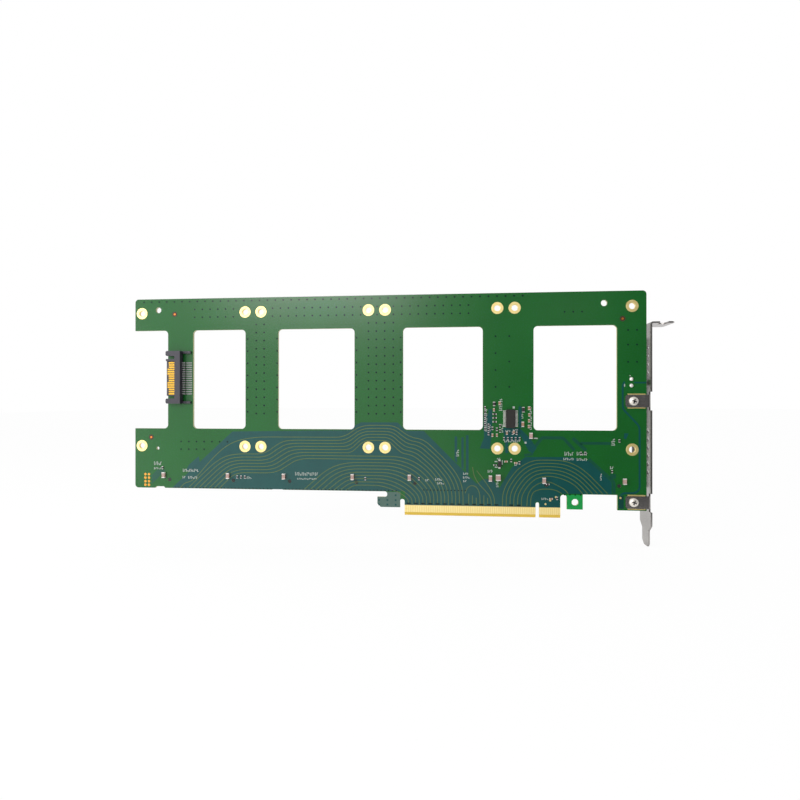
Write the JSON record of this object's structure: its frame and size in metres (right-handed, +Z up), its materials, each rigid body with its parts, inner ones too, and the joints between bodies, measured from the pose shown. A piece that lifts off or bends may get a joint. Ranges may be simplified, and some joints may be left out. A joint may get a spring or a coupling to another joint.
{
  "type": "nvme adapter card",
  "caption": "Long full-height expansion card that carries 2.5-inch NVMe drives on its hidden side, with air windows, edge fingers and an end bracket.",
  "frame": {"origin": "middle of the key notch in the contact fingers, on their bottom edge, half-way through the board", "axes": "+X along the card towards the end bracket, +Y from the solder side to the component side, +Z up, away from the socket"},
  "size_m": [0.2999, 0.0199, 0.1369],
  "materials": {
    "solder_mask_laminate": "glossy green solder mask over glass laminate",
    "gold_plating": "thin gold over copper",
    "bare_copper": "bare copper dot",
    "bracket_steel": "bright nickel-plated sheet steel",
    "screw_steel": "bright zinc-plated steel",
    "grey_nylon": "dark grey moulded nylon",
    "black_nylon": "black moulded nylon",
    "contact_gold": "gold-plated phosphor bronze",
    "tinned_leads": "dull tin plating",
    "epoxy_black": "moulded epoxy",
    "pale_ceramic": "pale fired ceramic",
    "tan_ceramic": "tan fired ceramic",
    "resistor_glaze": "black glaze",
    "green_lens": "tinted clear plastic"
  },
  "bodies": {
    "root": {"bracket_nuts": "screw_steel", "bracket_screws": "screw_steel", "bracket_tab_lands": "gold_plating", "bulk_capacitors": "pale_ceramic", "ceramic_capacitors": "tan_ceramic", "chip_end_caps": "tinned_leads", "chip_resistors": "resistor_glaze", "circuit_board": "solder_mask_laminate", "clock_buffer_body": "epoxy_black", "clock_buffer_leads": "tinned_leads", "drive_hole_plating": "gold_plating", "drive_receptacle_1_blades": "contact_gold", "drive_receptacle_1_feet": "tinned_leads", "drive_receptacle_1_housing": "black_nylon", "drive_receptacle_2_blades": "contact_gold", "drive_receptacle_2_feet": "tinned_leads", "drive_receptacle_2_housing": "black_nylon", "drive_receptacle_3_blades": "contact_gold", "drive_receptacle_3_feet": "tinned_leads", "drive_receptacle_3_housing": "black_nylon", "drive_receptacle_4_blades": "contact_gold", "drive_receptacle_4_feet": "tinned_leads", "drive_receptacle_4_housing": "black_nylon", "edge_contacts_component_side": "gold_plating", "edge_contacts_solder_side": "gold_plating", "end_bracket": "bracket_steel", "header_lands": "gold_plating", "lamp_holder": "black_nylon", "lamp_legs": "tinned_leads", "lamp_lens": "green_lens", "lamp_solder_joints": "tinned_leads", "optical_targets": "bare_copper", "power_plug_contacts": "contact_gold", "power_plug_housing": "grey_nylon", "power_plug_tails": "tinned_leads", "supply_diode_body": "epoxy_black", "supply_diode_terminals": "tinned_leads", "test_lands": "gold_plating"}
  },
  "joints": []
}
